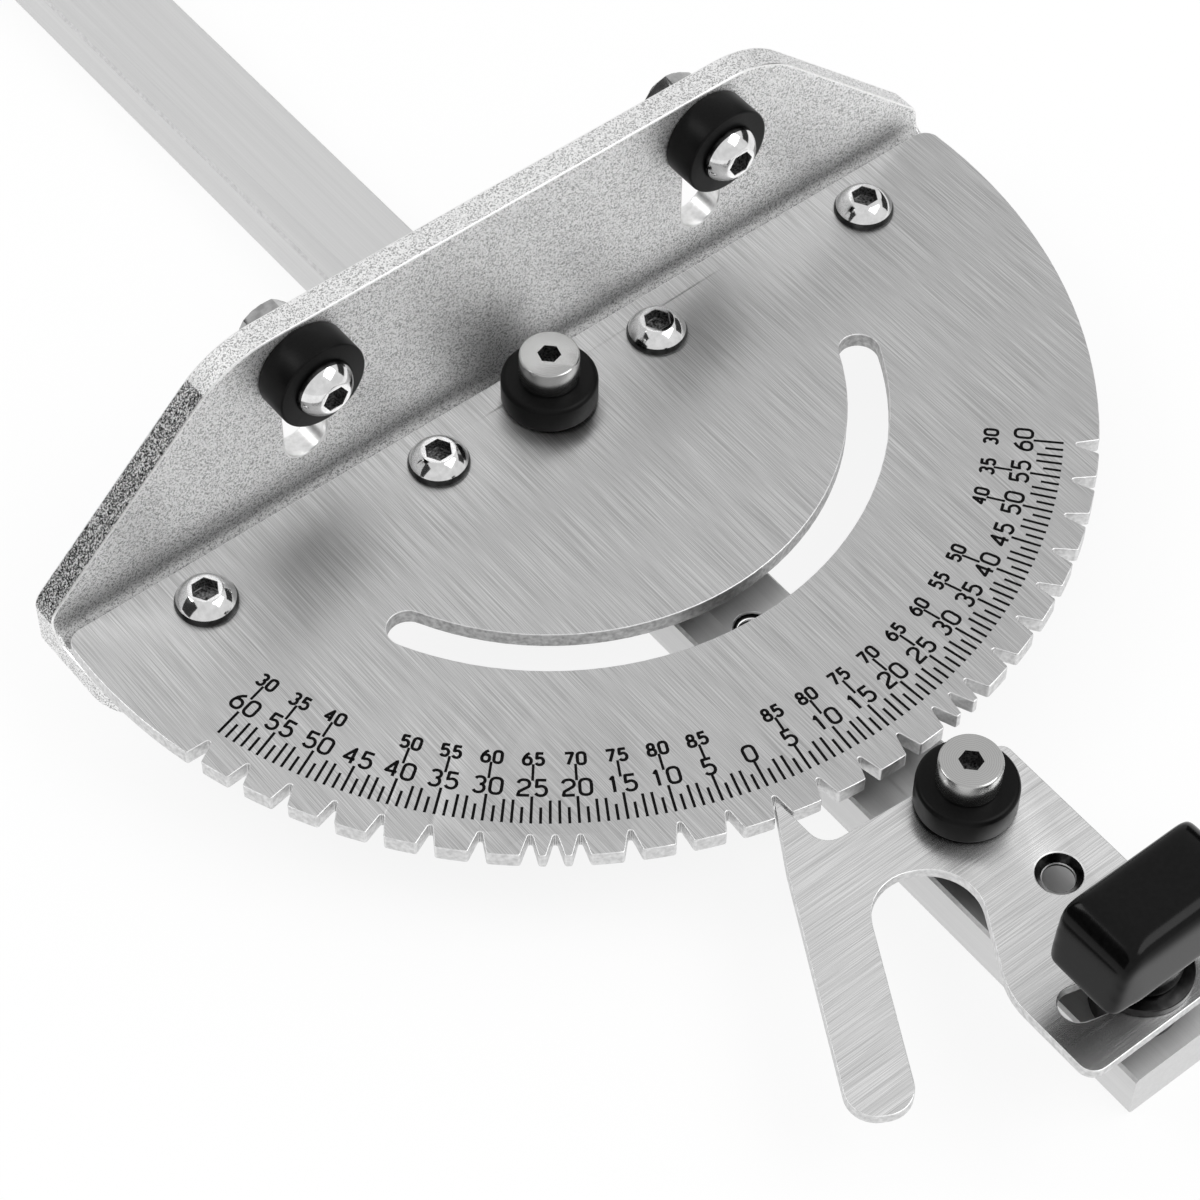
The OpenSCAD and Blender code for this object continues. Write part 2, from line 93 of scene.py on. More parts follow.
def new_finish(name):
    """An empty material: its tree, its surface shader and the object's own coordinates."""
    material = bpy.data.materials.new(name)
    material.use_nodes = True
    tree = material.node_tree
    shader = tree.nodes["Principled BSDF"]
    place = add(tree, "ShaderNodeTexCoord").outputs["Object"]
    return material, tree, shader, place


def dress(tree, shader, links, values):
    """Links and sets the sockets of a finish's surface shader."""
    for socket, source in links.items():
        tree.links.new(source, shader.inputs[socket])
    for socket, value in values.items():
        shader.inputs[socket].default_value = value


def wave_scale(apart_mm):
    """The scale at which a wave texture repeats every apart_mm: by itself it does every 2 pi / 20."""
    return math.tau / (20 * apart_mm * MM)


def brushed_aluminium(name, grain_mm, dark, light, roughness, relief_mm, cloud, smear):
    """Aluminium drawn under an abrasive belt: long fine scratches that catch the light in streaks
    and smear what they mirror across themselves. grain_mm is the size of a scratch along X, Y and
    Z, and cloud the share of broader streaks. The piece's UV map has its U across the scratches."""
    material, tree, shader, place = new_finish(name)
    scale = [1 / (size * MM) for size in grain_mm]
    grain = add(tree, "ShaderNodeMapping", {"Scale": scale}, {"Vector": place}).outputs["Vector"]
    fine = add(tree, "ShaderNodeTexNoise", {"Scale": 1.0, "Detail": 3.0, "Roughness": 0.65},
               {"Vector": grain}).outputs["Fac"]
    broad = add(tree, "ShaderNodeTexNoise", {"Scale": 0.23, "Detail": 2.0, "Roughness": 0.5},
                {"Vector": grain}).outputs["Fac"]
    both = add(tree, "ShaderNodeMix", {"Factor": cloud}, {"A": fine, "B": broad}).outputs["Result"]
    colour = add(tree, "ShaderNodeValToRGB", links={"Fac": both},
                 stops=((0.36, dark), (0.64, light))).outputs["Color"]
    bump = add(tree, "ShaderNodeBump", {"Strength": 0.6, "Distance": relief_mm * MM},
               {"Height": fine}).outputs["Normal"]
    across = add(tree, "ShaderNodeTangent", direction_type="UV_MAP", uv_map="grain").outputs["Tangent"]
    dress(tree, shader, {"Base Color": colour, "Normal": bump, "Tangent": across},
          {"Metallic": 1.0, "Roughness": roughness, "Anisotropic": smear})
    return material


# The corner above the bracket's leg, where shade is painted into the colour: its ends, the line that it
# follows and its half width, how uneven its edge is, the heights between which the painted shade fades
# out, and how fast it ends past the corner
CORNER_SHADE_END_X = 91.3 * MM
CORNER_SHADE_LINE_Y = 9.4 * MM
CORNER_SHADE_HALF_WIDTH = 1.8 * MM
CORNER_SHADE_LOW = 14.6 * MM
CORNER_SHADE_HIGH = 18.2 * MM
CORNER_SHADE_UNEVEN = 1.0 * MM
CORNER_SHADE_STEEPNESS = 40.0


def blasted_aluminium(name, *skin_tones):
    """Aluminium blasted with coarse beads: a matt skin of small dents, each with a bright and a
    dark side from its bump, a colour speckled with painted glints, and painted shade in the corner above
    the leg, darker towards the table. The real dents are about
    0.2 mm wide, drawn at 0.33 mm to show."""
    material, tree, shader, place = new_finish(name)
    dents = add(tree, "ShaderNodeTexNoise", {"Scale": 1 / (0.33 * MM), "Detail": 3.0, "Roughness": 0.8},
                {"Vector": place}).outputs["Fac"]
    # Painted glints: small cells of bright colour that stand for facets catching the light
    painted_glints = add(tree, "ShaderNodeTexVoronoi", {"Scale": 1 / (0.2 * MM)},
                 {"Vector": place}).outputs["Color"]
    painted_glint = add(tree, "ShaderNodeSeparateColor", links={"Color": painted_glints}).outputs["Red"]
    mixed = add(tree, "ShaderNodeMix", {"Factor": 0.3}, {"A": dents, "B": painted_glint}).outputs["Result"]
    skin = add(tree, "ShaderNodeValToRGB", links={"Fac": mixed}, stops=skin_tones).outputs["Color"]
    # Height above the table, and far more than that outside the corner, where no shade is painted
    where = add(tree, "ShaderNodeSeparateXYZ", links={"Vector": place}).outputs
    side = add(tree, "ShaderNodeMath", links={0: where["X"]}, operation="ABSOLUTE").outputs["Value"]
    past_end = add(tree, "ShaderNodeMath", {1: CORNER_SHADE_END_X}, {0: side},
                   operation="SUBTRACT").outputs["Value"]
    across = add(tree, "ShaderNodeMath", {1: CORNER_SHADE_LINE_Y}, {0: where["Y"]},
                 operation="SUBTRACT").outputs["Value"]
    spread = add(tree, "ShaderNodeMath", links={0: across}, operation="ABSOLUTE").outputs["Value"]
    past_side = add(tree, "ShaderNodeMath", {1: CORNER_SHADE_HALF_WIDTH}, {0: spread},
                    operation="SUBTRACT").outputs["Value"]
    past = add(tree, "ShaderNodeMath", links={0: past_end, 1: past_side},
               operation="MAXIMUM").outputs["Value"]
    clear = add(tree, "ShaderNodeMath", {1: 0.0}, {0: past}, operation="MAXIMUM").outputs["Value"]
    uneven = add(tree, "ShaderNodeMath", {1: CORNER_SHADE_UNEVEN}, {0: dents},
                 operation="MULTIPLY").outputs["Value"]
    height = add(tree, "ShaderNodeMath", {1: CORNER_SHADE_STEEPNESS}, {0: clear, 2: where["Z"]},
                 operation="MULTIPLY_ADD").outputs["Value"]
    level = add(tree, "ShaderNodeMath", links={0: height, 1: uneven},
                operation="SUBTRACT").outputs["Value"]
    out_of_shade = add(tree, "ShaderNodeMapRange", {"From Min": CORNER_SHADE_LOW, "From Max": CORNER_SHADE_HIGH},
                {"Value": level}).outputs["Result"]
    # Painted shade: the colour darkens towards the table in the corner above the leg
    corner_shade = add(tree, "ShaderNodeValToRGB", links={"Fac": out_of_shade},
               stops=((0.0, "#aeaeae"), (0.3, "#dadada"), (1.0, "#ffffff"))).outputs["Color"]
    # A colour mix has its factor at socket 0, its two colours at 6 and 7 and its result at 2
    colour = add(tree, "ShaderNodeMix", {0: 1.0}, {6: skin, 7: corner_shade},
                 data_type="RGBA", blend_type="MULTIPLY").outputs[2]
    bump = add(tree, "ShaderNodeBump", {"Strength": 0.9, "Distance": 0.09 * MM},
               {"Height": dents}).outputs["Normal"]
    dress(tree, shader, {"Base Color": colour, "Normal": bump}, {"Metallic": 1.0, "Roughness": 0.54})
    return material


def filed_aluminium(name, dark, light, roughness, bare=1.0):
    """Broken and milled edges, drawn over with a fine file: smooth and bright, or, in dark tones,
    painted shade. bare is the share of bare metal; the rest is a plain non-metallic colour, which on the
    bar's edges is painted light."""
    material, tree, shader, place = new_finish(name)
    marks = add(tree, "ShaderNodeTexNoise", {"Scale": 1 / (0.8 * MM), "Detail": 2.0},
                {"Vector": place}).outputs["Fac"]
    colour = add(tree, "ShaderNodeValToRGB", links={"Fac": marks},
                 stops=((0.3, dark), (0.7, light))).outputs["Color"]
    dress(tree, shader, {"Base Color": colour}, {"Metallic": bare, "Roughness": roughness})
    return material


def turned_steel(name, centre):
    """Steel faced on a lathe: fine rings about the screw's own axis. The real rings are about
    0.1 mm apart, drawn 0.3456 mm apart to show."""
    material, tree, shader, place = new_finish(name)
    middle = add(tree, "ShaderNodeMapping", {"Location": [-c for c in centre]},
                 {"Vector": place}).outputs["Vector"]
    rings = add(tree, "ShaderNodeTexWave",
                {"Scale": wave_scale(0.3456), "Distortion": 0.8, "Detail": 1.0},
                {"Vector": middle}, wave_type="RINGS", rings_direction="Z").outputs["Fac"]
    colour = add(tree, "ShaderNodeValToRGB", links={"Fac": rings},
                 stops=((0.0, "#b2b2b1"), (1.0, "#bcbcbb"))).outputs["Color"]
    bump = add(tree, "ShaderNodeBump", {"Strength": 0.4, "Distance": 0.002 * MM},
               {"Height": rings}).outputs["Normal"]
    dress(tree, shader, {"Base Color": colour, "Normal": bump}, {"Metallic": 1.0, "Roughness": 0.24})
    return material


def tapped_aluminium():
    """The wall of a hole tapped with a 1 mm pitch: painted bright crests and painted dark roots, the
    light and shade of threads on a plain wall, with a bump.
    """
    material, tree, shader, place = new_finish("tapped_hole_painted_threads")
    threads = add(tree, "ShaderNodeTexWave", {"Scale": wave_scale(1.0)},
                  {"Vector": place}, wave_type="BANDS", bands_direction="Z").outputs["Fac"]
    colour = add(tree, "ShaderNodeValToRGB", links={"Fac": threads},
                 stops=((0.35, "#181818"), (0.65, "#f6f6f6"))).outputs["Color"]
    bump = add(tree, "ShaderNodeBump", {"Strength": 0.8, "Distance": 0.3 * MM},
               {"Height": threads}).outputs["Normal"]
    dress(tree, shader, {"Base Color": colour, "Normal": bump}, {"Metallic": 1.0, "Roughness": 0.35})
    return material


def plated_steel(name, dark, light, roughness):
    """Plate over forged steel: a mirror with a faint haze."""
    material, tree, shader, place = new_finish(name)
    haze = add(tree, "ShaderNodeTexNoise", {"Scale": 1 / (1.4 * MM), "Detail": 3.0},
               {"Vector": place}).outputs["Fac"]
    colour = add(tree, "ShaderNodeValToRGB", links={"Fac": haze},
                 stops=((0.35, dark), (0.65, light))).outputs["Color"]
    bump = add(tree, "ShaderNodeBump", {"Strength": 0.25, "Distance": 0.02 * MM},
               {"Height": haze}).outputs["Normal"]
    dress(tree, shader, {"Base Color": colour, "Normal": bump},
          {"Metallic": 1.0, "Roughness": roughness})
    return material


def broached_steel():
    """The inside of a hexagon socket: unplated and dull, and painted dark for the shade inside it."""
    material, tree, shader, place = new_finish("socket_steel_painted_shade")
    tears = add(tree, "ShaderNodeTexNoise", {"Scale": 1 / (0.4 * MM), "Detail": 2.0},
                {"Vector": place}).outputs["Fac"]
    colour = add(tree, "ShaderNodeValToRGB", links={"Fac": tears},
                 stops=((0.35, "#2c2c2c"), (0.7, "#9c9c9c"))).outputs["Color"]
    dress(tree, shader, {"Base Color": colour}, {"Metallic": 1.0, "Roughness": 0.45})
    return material


def moulded_black(name, dark, light, roughness, grain_mm, relief_mm, gloss):
    """Black nylon or ABS from a mould: a near-black skin with a fine even grain."""
    material, tree, shader, place = new_finish(name)
    grain = add(tree, "ShaderNodeTexNoise", {"Scale": 1 / (grain_mm * MM), "Detail": 2.0},
                {"Vector": place}).outputs["Fac"]
    colour = add(tree, "ShaderNodeValToRGB", links={"Fac": grain},
                 stops=((0.3, dark), (0.7, light))).outputs["Color"]
    bump = add(tree, "ShaderNodeBump", {"Strength": 0.4, "Distance": relief_mm * MM},
               {"Height": grain}).outputs["Normal"]
    dress(tree, shader, {"Base Color": colour, "Normal": bump},
          {"Roughness": roughness, "IOR": 1.5, "Specular IOR Level": gloss})
    return material


def brass():
    """Turned brass of the threaded insert: yellow, with a soft shine."""
    material, tree, shader, place = new_finish("turned_brass")
    grain = add(tree, "ShaderNodeTexNoise", {"Scale": 1 / (0.5 * MM), "Detail": 2.0},
                {"Vector": place}).outputs["Fac"]
    colour = add(tree, "ShaderNodeValToRGB", links={"Fac": grain},
                 stops=((0.3, "#b8924a"), (0.7, "#d6b46c"))).outputs["Color"]
    dress(tree, shader, {"Base Color": colour}, {"Metallic": 1.0, "Roughness": 0.3})
    return material


def dial_ink():
    """Black filling of the engraved dial marks: matt and a little worn."""
    material, tree, shader, place = new_finish("black_dial_ink")
    wear = add(tree, "ShaderNodeTexNoise", {"Scale": 1 / (0.3 * MM), "Detail": 2.0},
               {"Vector": place}).outputs["Fac"]
    colour = add(tree, "ShaderNodeValToRGB", links={"Fac": wear},
                 stops=((0.3, "#040404"), (0.75, "#0e0e0e"))).outputs["Color"]
    dress(tree, shader, {"Base Color": colour}, {"Roughness": 0.6, "Specular IOR Level": 0.08})
    return material


# Scratches run across the head plate from the fence to the rim, along the bar, and across the
# index plate. A real scratch is about 0.05 mm wide, drawn at 0.13 mm, or 0.3 on the bar, to show.
plate_finish = brushed_aluminium("brushed_plate_aluminium", (0.13, 18, 2), "#aaaaaa", "#dcdcdc",
                                 roughness=0.36, relief_mm=0.02, cloud=0.1, smear=0.8)
bar_finish = brushed_aluminium("satin_bar_aluminium", (0.3, 40, 0.3), "#dcdcdc", "#e4e4e4",
                               roughness=0.55, relief_mm=0.006, cloud=0.45, smear=0.2)
index_finish = brushed_aluminium("brushed_index_aluminium", (18, 0.13, 2), "#bebebe", "#ececec",
                                 roughness=0.26, relief_mm=0.015, cloud=0.1, smear=0.7)
bracket_finish = blasted_aluminium("bead_blasted_aluminium",
                                   (0.36, "#a2a2a2"), (0.48, "#f0f0f0"), (0.58, "#ffffff"))
# The sawn ends of the bracket are painted darker and more broken: a painted dark reflection
shaded_end_finish = blasted_aluminium("blasted_end_painted_dark",
                               (0.4, "#161616"), (0.5, "#8c8c8c"), (0.6, "#f0f0f0"))
# Cut aluminium, from the bracket's bright filed edges to the wall of the spare hole, painted dark for
# the shade inside it
edge_finish = filed_aluminium("filed_edge_aluminium", "#ececeb", "#ffffff", 0.35)
sheared_finish = filed_aluminium("sheared_edge_aluminium", "#c8c8c8", "#e6e6e6", 0.45)
slot_finish = filed_aluminium("punched_slot_aluminium", "#909090", "#bcbcbc", 0.45)
worn_finish = filed_aluminium("worn_edge_aluminium", "#d4d4d4", "#ececec", 0.45)
# The undersides of the sheets are mill finish, painted darker for the shade beneath them
shaded_underside_finish = filed_aluminium("mill_finish_painted_shade", "#5c5c5c", "#707070", 0.5)
spare_hole_shade_finish = filed_aluminium("drilled_hole_painted_shade", "#161616", "#3c3c3c", 0.25)
# The bar's slanting edges are painted light and mostly not metal, a painted highlight in place of the
# dark reflection that they would show
light_edge_finish = filed_aluminium("bar_edge_painted_light", "#c0c0c0", "#d4d4d4", 0.6, bare=0.15)
socket_shade_finish = broached_steel()
# Threads painted into the colour of the lock hole's wall: painted highlights on the crests, painted
# shade in the roots
painted_thread_finish = tapped_aluminium()
# Bright nickel on the screws, painted dark at their rims for the shade where they meet the sheet, grey
# zinc on the nuts and black oxide on the washers
screw_finish = plated_steel("nickel_plated_steel", "#dcdcdc", "#ececec", 0.1)
rim_shade_finish = plated_steel("nickel_plate_painted_shade", "#2c2c2c", "#484848", 0.25)
nut_finish = plated_steel("zinc_plated_nut_steel", "#9c9c9c", "#b6b6b6", 0.16)
washer_finish = plated_steel("black_oxide_washer_steel", "#2a2a2a", "#3a3a3a", 0.25)
pivot_finish = turned_steel("turned_pivot_steel", PIVOT)
cap_finish = turned_steel("turned_index_steel", INDEX_AXIS)
# The rings are satin nylon. The handle is polished, and mirrors the lamps in long lights.
ring_finish = moulded_black("black_nylon_ring", "#060606", "#0c0c0c",
                            roughness=0.36, grain_mm=0.35, relief_mm=0.02, gloss=0.12)
handle_finish = moulded_black("black_handle_plastic", "#050505", "#0a0a0a",
                              roughness=0.17, grain_mm=0.8, relief_mm=0.006, gloss=0.15)
brass_finish = brass()
ink_finish = dial_ink()


def mesh_from(bm, name):
    """A named mesh from a bmesh, which is freed."""
    mesh = bpy.data.meshes.new(name)
    bm.to_mesh(mesh)
    bm.free()
    return mesh


def put(name, data):
    """A named object in the scene, at the origin."""
    made = bpy.data.objects.new(name, data)
    scene.collection.objects.link(made)
    return made


# The two ways that scratches run
ALONG_Y = 0
ALONG_X = 1


def lay_grain(bm, run):
    """A UV map with its U across the scratches, which run along Y or along X."""
    layer = bm.loops.layers.uv.new("grain")
    for face in bm.faces:
        facing = max(range(3), key=lambda axis: abs(face.normal[axis]))
        u = run if run != facing else 2
        v = 1 - run if 1 - run != facing else 2
        for loop in face.loops:
            loop[layer].uv = (loop.vert.co[u], loop.vert.co[v])


# How far up or down a face's normal points where the face counts as level
LEVEL = 0.95
# Distances in mm that take in the wall of each opening and leave out every other face: from the
# pivot, from a hole's or a screw's axis, and from a fence slot's middle line
ARC_SLOT_REACH = 70
SPARE_HOLE_REACH = 4.1
LOCK_HOLE_REACH = 4.5
BUTTON_SOCKET_REACH = 2.5
CAP_SOCKET_REACH = 2.15
FENCE_SLOT_REACH = 4.7
# The heights in mm between which the fence slots lie
FENCE_SLOT_HEIGHTS = (20, 53)
# The distances in mm from a button screw's axis between which its head's rim lies
BUTTON_RIM = (5.0, 5.5)


def in_hole(face, centre, reach_mm):
    """Whether a face is part of an upright hole's wall: near the hole's axis, and not level."""
    away = face.calc_center_median() - centre
    return abs(face.normal.z) < LEVEL and away.xy.length < reach_mm * MM


def in_socket(face, heads, reach_mm):
    """Whether a face lies inside the socket of one of the heads, each a point on a screw's axis and
    the axis."""
    for middle, axis in heads:
        away = [(v.co - middle) - axis * (v.co - middle).dot(axis) for v in face.verts]
        if max(a.length for a in away) < reach_mm * MM:
            return True
    return False


def pick_sheet(face):
    """A level sheet's finish on a face: 0 its top, 1 its sides, 2 its underside, painted darker for the
    shade there.
    """
    if face.normal.z < -LEVEL:
        return 2
    return 0 if face.normal.z > LEVEL else 1


def pick_plate(face):
    """The head plate's finish on a face: a sheet's, and 4 on the wall of its arc slot."""
    return 4 if in_hole(face, PIVOT, ARC_SLOT_REACH) else pick_sheet(face)


def pick_index(face):
    """The index plate's finish on a face: a sheet's, and 4 inside the spare hole, painted dark for the
    shade there.
    """
    return 4 if in_hole(face, SPARE_HOLE, SPARE_HOLE_REACH) else pick_sheet(face)


def pick_bar(face):
    """The bar's finish on a face: 0 its skin, 1 the wall of the lock hole with painted threads, 2 its
    slanting edges, painted light.
    """
    if in_hole(face, LOCK_HOLE, LOCK_HOLE_REACH):
        return 1
    return 2 if abs(face.normal.z) > 0.3 and abs(face.normal.x) > 0.3 else 0


def pick_bracket(face):
    """The bracket's finish on a face: 0 its skin, 1 a milled slot wall, 2 its sawn ends, painted darker.
    """
    middle = face.calc_center_median()
    low, high = FENCE_SLOT_HEIGHTS
    if (abs(abs(middle.x) - FENCE_X) < FENCE_SLOT_REACH * MM and abs(face.normal.y) < 0.5
            and low * MM < middle.z < high * MM):
        return 1
    return 2 if face.normal.x < -0.6 and middle.z > PLATE_TOP else 0


plate_heads = [(Vector((x * MM, 0, 0)), UP) for x in HEAD_SCREWS_X]
fence_heads = [(sum(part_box(name), Vector()) / 2, BACK)
               for name in ("fence_screw_left", "fence_screw_right")]
cap_heads = [(PIVOT, UP), (INDEX_AXIS, UP)]


def pick_head(face, heads):
    """The finish of a button head's face: 0 its dome, 1 its socket, painted dark for the shade inside
    it, 2 the thin rim under the dome, painted dark for the shade where it meets the sheet.
    """
    if in_socket(face, heads, BUTTON_SOCKET_REACH):
        return 1
    for middle, axis in heads:
        out = face.calc_center_median() - middle
        out -= axis * out.dot(axis)
        inner, outer = BUTTON_RIM
        if inner * MM < out.length < outer * MM and abs(face.normal.dot(axis)) < 0.5:
            return 2
    return 0


def pick_plate_screw(face):
    """The finish of a face of the four screws in the head plate."""
    return pick_head(face, plate_heads)


def pick_fence_screw(face):
    """The finish of a face of the two screws in the fence."""
    return pick_head(face, fence_heads)


def pick_cap(face):
    """The finish of a cap head's face: 0 its turned outside, 1 its socket, painted dark for the shade
    inside it.
    """
    return 1 if in_socket(face, cap_heads, CAP_SOCKET_REACH) else 0


# Points nearer than this, in mm, are merged
SAME_POINT = 0.025
# Edges shorter than this, in mm, are taken out
SHORTEST_EDGE = 0.005
# Triangles that meet at less than this, in degrees, become one flat face
FLAT_ANGLE = 0.6
# Edges at which the surface turns by more than this, in degrees, are broken
SHARP_ANGLE = 28
# Edges at which it turns by more than this show as edges, and the rest shade smoothly
CREASE_ANGLE = 20


def soften(name, finishes, edge_mm, run=None, pick=None, edge_place=None):
    """A copy of a piece whose sharp edges are broken by edge_mm, as a deburred edge is, and whose
    curved faces shade smoothly. It stands for the plain piece. run is the way that scratches run,
    pick gives the place in finishes of a face's finish, and edge_place is the place of the broken
    edges' own."""
    bm = bmesh.new()
    bm.from_mesh(nodes[name].data)
    bmesh.ops.remove_doubles(bm, verts=bm.verts, dist=SAME_POINT * MM)
    bmesh.ops.dissolve_degenerate(bm, dist=SHORTEST_EDGE * MM, edges=bm.edges)
    bmesh.ops.dissolve_limit(bm, angle_limit=math.radians(FLAT_ANGLE), use_dissolve_boundaries=False,
                             verts=bm.verts, edges=bm.edges)
    limit = math.radians(SHARP_ANGLE)
    sharp = [e for e in bm.edges if len(e.link_faces) == 2 and e.calc_face_angle(0) > limit]
    if edge_mm:
        broken = bmesh.ops.bevel(bm, geom=sharp, affect="EDGES", offset_type="OFFSET",
                                 offset=edge_mm * MM, segments=2, profile=0.5, material=-1,
                                 clamp_overlap=False, loop_slide=True)["faces"]
    bm.normal_update()
    for face in bm.faces:
        face.material_index = pick(face) if pick else 0
    if edge_place is not None:
        for face in broken:
            face.material_index = edge_place
    if run is not None:
        lay_grain(bm, run)
    mesh = mesh_from(bm, name + "_softened")
    mesh.polygons.foreach_set("use_smooth", [True] * len(mesh.polygons))
    mesh.set_sharp_from_angle(angle=math.radians(CREASE_ANGLE))
    for finish in finishes:
        mesh.materials.append(finish)
    piece = put(name + "_softened", mesh)
    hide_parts(name)
    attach(piece, body_of_node[name])
    return piece


def round_over(piece, cell_mm, passes):
    """Rounds every edge of a moulding: the piece is meshed anew in small cells and smoothed."""
    cells = piece.modifiers.new("cells", "REMESH")
    cells.mode = "VOXEL"
    cells.voxel_size = cell_mm * MM
    made = bpy.data.meshes.new_from_object(piece.evaluated_get(bpy.context.evaluated_depsgraph_get()))
    piece.modifiers.clear()
    bm = bmesh.new()
    bm.from_mesh(made)
    for _ in range(passes):
        bmesh.ops.smooth_vert(bm, verts=bm.verts, factor=0.5, use_axis_x=True, use_axis_y=True,
                              use_axis_z=True)
    bm.to_mesh(piece.data)
    bm.free()
    piece.data.polygons.foreach_set("use_smooth", [True] * len(piece.data.polygons))


# How far sharp edges are broken, in mm. The solids of the bar, the rings, the cap screws and the
# clamp stud have their edges broken already, the brass insert is hidden, and the handle is rounded
# over as a whole.
SHEET_EDGE = 0.16
BRACKET_EDGE = 0.28
SCREW_EDGE = 0.1
SPACER_EDGE = 0.2
THIN_EDGE = 0.05
AS_IT_IS = 0

plate_finishes = (plate_finish, sheared_finish, shaded_underside_finish, worn_finish, slot_finish)
index_finishes = (index_finish, sheared_finish, shaded_underside_finish, worn_finish, spare_hole_shade_finish)
bracket_finishes = (bracket_finish, edge_finish, shaded_end_finish)
button_finishes = (screw_finish, socket_shade_finish, rim_shade_finish)
soften("miter_bar", (bar_finish, painted_thread_finish, light_edge_finish), AS_IT_IS, ALONG_Y, pick_bar)
soften("protractor_plate", plate_finishes, SHEET_EDGE, ALONG_Y, pick_plate, 3)
soften("fence_bracket", bracket_finishes, BRACKET_EDGE, None, pick_bracket, 1)
soften("head_screws", button_finishes, SCREW_EDGE, None, pick_plate_screw)
soften("pivot_washer", (washer_finish,), THIN_EDGE)
soften("pivot_ring", (ring_finish,), AS_IT_IS)
soften("pivot_screw", (pivot_finish, socket_shade_finish), AS_IT_IS, None, pick_cap)
soften("index_spacer", (ring_finish,), SPACER_EDGE)
soften("index_plate", index_finishes, SHEET_EDGE, ALONG_X, pick_index, 3)
soften("index_ring", (ring_finish,), AS_IT_IS)
soften("index_screw", (cap_finish, socket_shade_finish), AS_IT_IS, None, pick_cap)
soften("clamp_spacer", (ring_finish,), SPACER_EDGE)
soften("clamp_stud", (screw_finish,), AS_IT_IS)
soften("clamp_washer", (washer_finish,), SCREW_EDGE)
soften("handle_insert", (brass_finish,), AS_IT_IS)
handle = soften("clamp_handle", (handle_finish,), AS_IT_IS)
round_over(handle, cell_mm=0.4, passes=24)
soften("fence_ring_left", (ring_finish,), AS_IT_IS)
soften("fence_ring_right", (ring_finish,), AS_IT_IS)
for side in ("left", "right"):
    soften("fence_screw_" + side, button_finishes, SCREW_EDGE, None, pick_fence_screw)
    soften("fence_nut_" + side, (nut_finish,), SCREW_EDGE)

# The dial, in mm. Angles are counted from the zero notch, which lies 15 degrees left of the bar.
ZERO_TURN = -15
LAST_MARK = 60
TICK_RIM = 86.05
TICK_WIDTH = 0.46
INK_RISE = 0.02
# Every fifth tick is the longest, and its neighbours are the shortest
TICK_LENGTHS = {0: 5.0, 1: 3.0, 2: 4.3, 3: 4.3, 4: 3.0}
# Of each row of numbers: its radius, and a digit's height, width and gap
OUTER_NUMBERS = (79.4, 2.9, 1.8, 0.84)
INNER_NUMBERS = (74.0, 2.15, 1.22, 0.68)
NUMBER_STROKE = 0.54
# The short lines between the rows: where they start and end, and their width
JOINING_LINES = (75.0, 78.1, 0.44)
# At 45 both rows would say the same, and at 0 the outer one stands alone
BARE_MARKS = (-45, 0, 45)


def ray(angle_deg, radius_mm):
    """The place on the plate's top at a dial angle and radius, turned so that -Y points outward."""
    turn = math.radians(angle_deg + ZERO_TURN)
    out = Vector((math.sin(turn), -math.cos(turn), 0)) * radius_mm * MM
    return Matrix.Translation(out + Vector((0, 0, PLATE_TOP))) @ Matrix.Rotation(turn, 4, "Z")


def on_head(name, mesh):
    """Puts a dial piece on the head plate."""
    mesh.materials.append(ink_finish)
    piece = put(name, mesh)
    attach(piece, "head")


def stroke_box(bm, angle_deg, inner_mm, outer_mm, width_mm):
    """A thin inked bar along a ray of the dial."""
    size = Matrix.Diagonal((width_mm * MM, (outer_mm - inner_mm) * MM, 2 * INK_RISE * MM, 1))
    bmesh.ops.create_cube(bm, size=1, matrix=ray(angle_deg, (inner_mm + outer_mm) / 2) @ size)


bm = bmesh.new()
for degree in range(-LAST_MARK, LAST_MARK + 1):
    stroke_box(bm, degree, TICK_RIM - TICK_LENGTHS[degree % 5], TICK_RIM, TICK_WIDTH)
on_head("dial_ticks", mesh_from(bm, "dial_ticks"))


def arc(x, y, radius, start, end, steps):
    """Points of a round stroke from one angle to another."""
    turns = [math.radians(start + (end - start) * i / steps) for i in range(steps + 1)]
    return [(x + radius * math.cos(t), y + radius * math.sin(t)) for t in turns]


def boxed(left, right, low, high, radius):
    """A closed round-cornered box of one stroke."""
    return (arc(right - radius, high - radius, radius, 0, 90, 4)
            + arc(left + radius, high - radius, radius, 90, 180, 4)
            + arc(left + radius, low + radius, radius, 180, 270, 4)
            + arc(right - radius, low + radius, radius, 270, 360, 4) + [(right, high - radius)])


